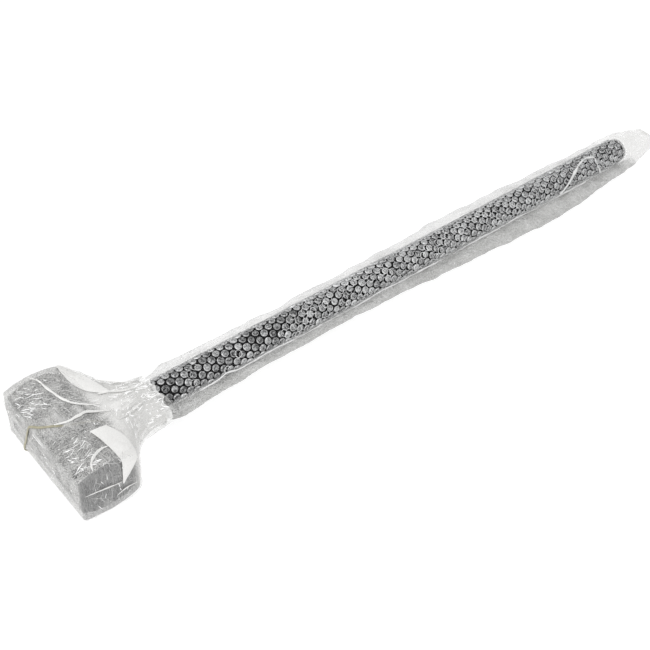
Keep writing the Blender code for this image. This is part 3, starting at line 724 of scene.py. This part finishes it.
def flap(name, left_edge, right_edge, lift, material, seed, bulge=1.2 * MM):
    """A turned-back flap: a bent leaf between two curved edges, crumpled a little."""
    rows, columns = 46, 26
    at = np.linspace(0, 1, rows)
    edges = []
    for edge in (left_edge, right_edge):
        edge = np.asarray(edge, float) * MM
        edges.append(np.stack([catmull(edge[:, k], at * (len(edge) - 1)) for k in range(3)], 1))
    share = np.linspace(0, 1, columns)[None, :, None]
    grid = edges[0][:, None] * (1 - share) + edges[1][:, None] * share
    flat = grid.reshape(-1, 3)
    out = np.where(np.abs(flat[:, 1:2]) > 70 * MM, flat * (0.6, 0.7, 1.0), flat * (0.25, 0.1, 1.0))
    out /= np.linalg.norm(out, axis=1, keepdims=True)
    across = np.broadcast_to(share, grid.shape)[..., 0].ravel()
    lift_here = rough(flat, ((12 * MM, 0.5 * MM), (5 * MM, 0.22 * MM)), seed)
    rise = lift + bulge * np.sin(math.pi * across) + lift_here
    fold = ridges(lift_here, grid.shape[:2], flat, seed, 88.0, 99.5)
    return add_mesh(name, flat + out * rise[:, None], grid_faces(rows, columns), "mallet", [material],
                    fields={"loose": np.full(len(flat), 0.35), "ridge": fold})


near_flap = flap("near_flap",
                 ((9, -32, 37.2), (12, -45, 37.2), (14, -60, 36.8), (15, -74, 36.4), (16, -80.6, 30),
                  (15, -81.0, 14), (14.0, -80.8, -1)),
                 ((28, -32, 34.4), (35, -46, 32.0), (38, -57, 30.6), (37, -69, 30.0), (34, -79.6, 27),
                  (30, -81.0, 18), (15.0, -80.8, -2)),
                 0.4 * MM, THICK_FOAM, 3, 0.8 * MM)
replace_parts(near_flap, "near_foam_flap")
far_flap = flap("far_flap",
                ((31, 76, 31.4), (30, 62, 31.6), (31, 44, 31.6), (36, 28, 31.4), (46, 16, 30.6), (58, 9, 29.4)),
                ((37.5, 74, 28.6), (41, 64, 29.0), (46, 52, 29.2), (51, 38, 29.4), (56, 22, 29.0), (59, 10, 29.2)),
                0.2 * MM, THICK_FOAM, 4, 0.7 * MM)
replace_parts(far_flap, "far_foam_flap")

FOLD_LINES = {
    "fold_far_top": (((-3, 74, 36.4), (3, 62, 37.0), (7, 38, 37.0), (14, 18, 36.2), (27, 6, 33.6), (40, 0, 31.4)),
                     3.4, 1.0),
    "fold_band_top": (((-15, -1, 36.6), (0, -6, 37.2), (12, -5, 36.8), (22, -5, 35.6), (32, -9, 33.0),
                       (43, -14, 31.0)), 3.8, 1.1),
    "fold_near_curl": (((-15, -77, 35.2), (-9, -66, 36.8), (3, -59, 37.4), (14, -59, 36.8)), 2.8, 0.9),
    "fold_near_end": (((-28, -79.4, 7.0), (-10, -79.9, 4.6), (5, -79.9, 1.2), (14, -79.8, -0.4)), 2.0, 0.6),
    "fold_near_base": (((6, -79.8, -17), (14, -79.9, -14), (22, -79.9, -13), (31, -79.6, -14)), 2.0, 0.6),
    "fold_neck_top": (((44, 14, 31.0), (58, 10, 29.6), (72, 4, 27.4), (88, 2, 24.4)), 3.0, 1.0),
    "fold_neck_near": (((44, -30, 29.5), (58, -26, 27.0), (74, -20, 23.5), (92, -14, 20.0)), 2.8, 1.0),
    "fold_neck_far": (((46, 46, 26.0), (60, 34, 24.5), (76, 24, 20.0), (94, 16, 18.0)), 2.8, 1.0),
}
for k, (fold_name, (fold_path, fold_width, fold_height)) in enumerate(FOLD_LINES.items()):
    strip(fold_name, fold_path, fold_width * MM, fold_height * MM, "mallet", THICK_FOAM, 30 + k)


BAND_PATH = (
    (-34.2, 44, -29), (-34.4, 33, -4), (-34.4, 21, 24), (-33.0, 16, 30.6), (-27, 7, 33.6), (-17, -1, 35.8),
    (-4, -8, 34.6), (20, -17, 32.6), (29.5, -21.5, 28.4), (31.0, -22.0, 22), (31.2, -21.5, 0), (31.0, -21.5, -22),
    (29.5, -21.0, -28.4), (10, -6, -37.0), (-12, 20, -36.8), (-31.0, 40, -32.0),
)


def build_band():
    """Flat rubber band round the foam, slanting over the top and down the outer face."""
    around, sides = 200, 8
    path = np.asarray(BAND_PATH, float) * MM
    looped = np.concatenate([path[-2:], path, path[:3]])
    at = 2 + np.arange(around) * len(path) / around
    loop = np.stack([catmull(looped[:, k], at) for k in range(3)], 1)
    ahead = np.roll(loop, -1, 0) - np.roll(loop, 1, 0)
    ahead /= np.linalg.norm(ahead, axis=1, keepdims=True)
    out = loop * (1.0, 0.0, 1.0)
    out -= (out * ahead).sum(1, keepdims=True) * ahead
    out /= np.linalg.norm(out, axis=1, keepdims=True)
    across = np.cross(ahead, out)
    twist = 0.5 * np.sin(np.arange(around) * 2 * math.pi * 5 / around)[:, None]
    rings = []
    for k in range(sides):
        turn = 2 * math.pi * k / sides
        flat_side, thin_side = 1.3 * MM * math.cos(turn), 0.7 * MM * math.sin(turn)
        rings.append(loop + across * (flat_side - thin_side * twist) + out * (thin_side + flat_side * twist * 0.3))
    grid = np.stack(rings, 0)
    i, j = np.arange(sides)[:, None], np.arange(around)[None, :]
    i2, j2 = (i + 1) % sides, (j + 1) % around
    faces = np.stack([i * around + j, i * around + j2, i2 * around + j2, i2 * around + j], -1).reshape(-1, 4)
    return add_mesh("band_loop", grid.reshape(-1, 3), faces, "mallet", [BAND])


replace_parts(build_band(), "rubber_band")

# ---- sleeve -------------------------------------------------------------------------------------------------
# Stations in mm: x, far crease (y, height), near crease (y, height), share of the roll's radius inside.
SLEEVE_STATIONS = (
    (101.4, 22.0, 0.0, -35.5, -5.0, 1.0),
    (106.0, 25.0, -2.0, -36.5, -7.0, 1.0),
    (113.0, 32.0, -5.0, -37.0, -9.0, 1.0),
    (121.0, 37.0, -8.0, -36.5, -11.0, 1.0),
    (140.0, 42.0, -8.0, -34.5, -12.0, 1.0),
    (162.0, 43.5, -8.0, -31.0, -12.0, 1.0),
    (196.0, 41.5, -8.0, -29.0, -12.0, 1.0),
    (230.0, 39.0, -8.0, -28.6, -12.0, 1.0),
    (307.0, 38.0, -8.0, -28.6, -12.0, 1.0),
    (390.0, 39.0, -8.0, -27.5, -12.0, 1.0),
    (475.0, 41.0, -8.0, -33.0, -12.0, 1.0),
    (569.0, 43.0, -8.0, -39.0, -12.0, 1.0),
    (666.0, 43.0, -8.0, -44.5, -12.0, 1.0),
    (716.0, 41.0, -8.0, -45.5, -12.0, 1.0),
    (770.0, 38.5, -8.0, -41.0, -12.0, 1.0),
    (818.0, 36.0, -8.0, -35.0, -11.0, 1.0),
    (848.0, 36.0, -8.0, -34.0, -10.0, 1.0),
    (876.0, 36.5, -8.0, -31.5, -10.0, 1.0),
    (890.0, 36.5, -8.0, -28.5, -10.0, 0.70),
    (905.0, 36.0, -9.0, -24.5, -10.0, 0.48),
    (922.0, 33.5, -10.0, -18.0, -10.0, 0.34),
    (936.0, 30.5, -10.0, -13.0, -10.5, 0.24),
    (947.0, 27.0, -11.0, -7.0, -11.0, 0.16),
    (953.5, 22.0, -12.0, -1.0, -12.0, 0.10),
)
SKIN_RADIUS = 18.5 * MM
FLANGE_POINTS = 26
ARC_POINTS = 44
NEAR_HUG = 0.55


def half_section(far, near, bulk, sign, floor, hug):
    """Half of the sleeve's section, from its far crease over (or under) the roll to its near crease, and how much
    each point belongs to the arc that touches the roll.  On the near side of the top it clings past the middle."""
    radius = SKIN_RADIUS * bulk
    ends = []
    for crease, side in ((far, 1.0), (near, -1.0)):
        reach = max(math.hypot(*crease), radius * 1.02)
        lean = math.atan2(crease[1] * sign, crease[0] * side)
        ends.append(min(lean + math.acos(min(1.0, radius / reach)), math.pi / 2 - 0.1))
    if sign > 0:
        ends[1] = ends[1] * (1 - hug) - NEAR_HUG * hug
    arc = np.linspace(ends[0], math.pi - ends[1], ARC_POINTS)
    arc_points = np.stack([radius * np.cos(arc), sign * radius * np.sin(arc)], 1)
    pieces = []
    for crease, tip, order in ((far, arc_points[0], 1), (near, arc_points[-1], -1)):
        share = np.linspace(0, 1, FLANGE_POINTS)[:, None]
        line = np.asarray(crease) * (1 - share) + tip * share
        line[:, 1] += sign * 1.2 * MM * np.sin(math.pi * share[:, 0])
        pieces.append(line[::order])
    points = np.concatenate([pieces[0][:-1], arc_points, pieces[1][1:]])
    touch = np.concatenate([np.zeros(FLANGE_POINTS - 1), np.ones(ARC_POINTS), np.zeros(FLANGE_POINTS - 1)])
    if sign < 0:
        points[:, 1] = np.maximum(points[:, 1], floor + 0.4 * MM)
    return points, touch


def crease_lines(at):
    """The sleeve's far and near crease and inner bulk at a distance along the handle, in metres, with waviness."""
    stations = np.asarray(SLEEVE_STATIONS, float)
    far_y, far_z, near_y, near_z, bulk = (np.interp(at, stations[:, 0], stations[:, k]) for k in range(1, 6))
    wave = 0.9 * math.sin(at / 17.0) + 0.6 * math.sin(at / 7.3 + 1.0) + 0.5 * math.sin(at / 41.0)
    ripple = 0.8 * math.sin(at / 11.0 + 2.0) + 0.7 * math.sin(at / 29.0) + 0.4 * math.sin(at / 5.1)
    keep = min(1.0, max(0.0, (at - 112.0) / 30.0))
    far = ((far_y + keep * wave) * MM, (far_z + 0.8 * keep * ripple) * MM)
    near = ((near_y - 0.45 * keep * ripple) * MM, (near_z + 0.6 * keep * wave) * MM)
    return far, near, bulk


def build_sleeve():
    rows, touches = [], []
    overlap = 9
    for at in np.arange(SLEEVE_STATIONS[0][0], SLEEVE_STATIONS[-1][0], 1.4):
        far, near, bulk = crease_lines(at)
        hug = float(ramp(np.array(at), 106.0, 122.0) * (1 - ramp(np.array(at), 868.0, 884.0)))
        floor = floor_height(at * MM)
        top, touch = half_section(far, near, bulk, 1.0, floor, hug)
        low, low_touch = half_section(far, near, bulk, -1.0, floor, hug)
        ring = np.concatenate([top, low[-2:0:-1]])
        touching = np.concatenate([touch, 0.8 * low_touch[-2:0:-1]])
        start = len(top) + 40
        ring = np.concatenate([ring[start:], ring[:start + overlap]])
        touching = np.concatenate([touching[start:], touching[:start + overlap]])
        rows.append(np.concatenate([np.full((len(ring), 1), at * MM), ring], 1))
        touches.append(touching)
    grid = np.asarray(rows)
    touch = np.asarray(touches).reshape(-1)
    flat = grid.reshape(-1, 3)
    normal = grid_normals(grid)
    flip = np.sign((normal * (grid * (0, 1, 1))).sum(2).mean())
    normal = (normal * flip).reshape(-1, 3)
    loose = 1.0 - touch
    stretched = flat * (0.5, 1.0, 1.0)
    lift = rough(stretched, ((17 * MM, 1.0 * MM), (8 * MM, 0.7 * MM)), 101) * loose
    lift += rough(flat, ((5 * MM, 0.30 * MM),), 131) * (0.4 + 0.6 * loose)
    tail = ramp(flat[:, 0], 872 * MM, 892 * MM)
    lift += tail * rough(flat * (0.4, 1.0, 1.0), ((9 * MM, 1.3 * MM), (4 * MM, 0.5 * MM)), 151)
    fold = ridges(lift + 0.6 * loose * rough(flat, ((7 * MM, 0.5 * MM),), 171), grid.shape[:2], flat, 173, 88.0, 99.0)
    edge = np.zeros(grid.shape[:2])
    edge[:, -overlap:] = 0.8 * MM
    mouth = ramp(flat[:, 0], 101 * MM, 112 * MM)
    flat = flat + normal * (np.maximum(lift, -0.35 * MM * touch - 9 * MM * loose) * mouth + edge.reshape(-1))[:, None]
    quads = grid_faces(*grid.shape[:2])
    centre = flat[quads].mean(1)
    inside = touch[quads].mean(1) > 0.6
    tail_face = centre[:, 0] > 871.5 * MM + 0.9 * np.maximum(0, -18 * MM - centre[:, 1])
    # Off the roll, the near side (y below 0) takes the darker copy with painted shade, and the far side takes the
    # lighter one.
    kind = np.where(inside & ~tail_face, 1, np.where(centre[:, 1] > 0, 0, 2))
    kind[tail_face] = 3
    pinch = ramp(flat[:, 0], 930 * MM, 950 * MM)
    closed = -11.5 * MM + 0.8 * MM * crumple(flat * (0.3, 1.0, 0.0), 9 * MM, 181)
    side = 0.25 * MM * np.sign(flat[:, 2] - closed)
    flat[:, 2] += pinch * (closed + side - flat[:, 2])
    return add_mesh("sleeve", flat, quads, "sleeve",
                    [SLEEVE_FAR, SLEEVE_CLEAR, SLEEVE_NEAR_SHADED, SLEEVE_TAIL], kind, fields={"ridge": fold})


def ribbon(name, points, outward, width, material, seed):
    """A narrow pinched fold standing on the sleeve along a line of points."""
    ahead = np.gradient(points, axis=0)
    ahead /= np.linalg.norm(ahead, axis=1, keepdims=True)
    across = np.cross(ahead, outward)
    size = width * (0.65 + 0.45 * crumple(points, 14 * MM, seed))[:, None]
    grid = np.stack([points - 0.5 * size * across, points + 0.35 * size * outward,
                     points + 0.75 * size * outward + 0.2 * size * across, points + 0.3 * size * outward
                     + 0.45 * size * across, points + 0.6 * size * across], 1)
    count = len(grid.reshape(-1, 3))
    return add_mesh(name, grid.reshape(-1, 3), grid_faces(*grid.shape[:2]), "sleeve", [material],
                    fields={"ridge": np.full(count, 0.5)})


def on_skin(along, angle, radius=SKIN_RADIUS + 0.5 * MM):
    """A point on the sleeve over the roll: the angle is in degrees up from the near side."""
    turn = np.radians(angle)
    return np.stack([along * MM, -radius * np.cos(turn), radius * np.sin(turn)], -1)


def build_sleeve_folds():
    """The pinched line beside the roll on the near side, and the loop of slack across it near the butt."""
    along = np.arange(118.0, 792.0, 2.0)
    wander = 6.0 * np.sin(along / 31.0) + 5.0 * np.sin(along / 13.0 + 1.0) + 4.0 * crumple(
        np.stack([along, 0 * along, 0 * along], 1) * MM, 12 * MM, 17) + 20.0 * np.exp(-((along - 190) / 11.0) ** 2)
    points = on_skin(along, wander - 22.0)
    outward = points * (0, 1, 1)
    outward /= np.linalg.norm(outward, axis=1, keepdims=True)
    ribbon("sleeve_near_fold", points, outward, 2.6 * MM, SLEEVE_FOLD, 201)
    loop = np.array(((736, -10), (745, 6), (755, 26), (769, 50), (785, 72), (800, 80), (811, 64), (811, 30),
                     (817, -8)), float)
    at = np.linspace(0, len(loop) - 1, 90)
    points = on_skin(catmull(loop[:, 0], at), catmull(loop[:, 1], at))
    outward = points * (0, 1, 1)
    outward /= np.linalg.norm(outward, axis=1, keepdims=True)
    ribbon("sleeve_loop_fold", points, outward, 4.6 * MM, SLEEVE_FOLD, 211)


build_sleeve_folds()
sleeve = build_sleeve()
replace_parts(sleeve, "sleeve_bag")


# ---- stage, camera and light --------------------------------------------------------------------------------
def build_floor():
    half = 6.0
    mesh = bpy.data.meshes.new("floor")
    mesh.from_pydata([(-half, -half, 0), (half, -half, 0), (half, half, 0), (-half, half, 0)], [], [(0, 1, 2, 3)])
    material, tree, shader, place = new_material("floor")
    tree.links.new(tinted(tree, noise(tree, place, 3.0), (0.30, 0.30, 0.30), (0.32, 0.32, 0.32)),
                   shader.inputs["Base Color"])
    shader.inputs["Roughness"].default_value = 0.9
    shader.inputs["Emission Color"].default_value = (1.0, 1.0, 1.0, 1.0)
    shader.inputs["Emission Strength"].default_value = 0.82
    mesh.materials.append(material)
    floor = bpy.data.objects.new("floor", mesh)
    bpy.context.scene.collection.objects.link(floor)


def build_camera():
    data = bpy.data.cameras.new("camera")
    data.sensor_width = 36.0
    data.lens = 66.46
    data.clip_start = 0.01
    ahead = Vector((0.4694, 0.5436, -0.6958)).normalized()
    up = Vector((0.4214, 0.5546, 0.7175))
    up = (up - up.dot(ahead) * ahead).normalized()
    right = ahead.cross(up)
    turn = Matrix((right, up, -ahead)).transposed().to_4x4()
    turn.translation = Vector((-0.3345, -0.7906, 0.9777))
    camera = bpy.data.objects.new("camera", data)
    bpy.context.scene.collection.objects.link(camera)
    camera.matrix_world = REST @ turn
    bpy.context.scene.camera = camera


def add_light(name, place, target, size, power):
    data = bpy.data.lights.new(name, "AREA")
    data.shape = "RECTANGLE"
    data.size, data.size_y = size
    data.energy = power
    light = bpy.data.objects.new(name, data)
    light.location = place
    light.rotation_euler = (Vector(target) - Vector(place)).to_track_quat("-Z", "Y").to_euler()
    bpy.context.scene.collection.objects.link(light)


build_floor()
build_camera()
world = bpy.data.worlds.new("studio")
world.use_nodes = True
world.node_tree.nodes["Background"].inputs["Color"].default_value = (1.0, 1.0, 1.0, 1.0)
world.node_tree.nodes["Background"].inputs["Strength"].default_value = 0.71
bpy.context.scene.world = world
add_light("key", (-1.3, -0.2, 1.3), (-0.3, 0.0, 0.0), (0.9, 0.9), 11.0)
add_light("spark_a", (0.25, 0.85, 1.15), (-0.4, 0.0, 0.0), (0.030, 0.030), 0.10)
add_light("spark_b", (0.7, 0.5, 1.1), (-0.2, 0.0, 0.0), (0.030, 0.030), 0.10)
add_light("spark_c", (1.2, 0.6, 1.2), (0.3, 0.0, 0.0), (0.030, 0.030), 0.10)
bpy.context.scene.view_settings.view_transform = "Standard"
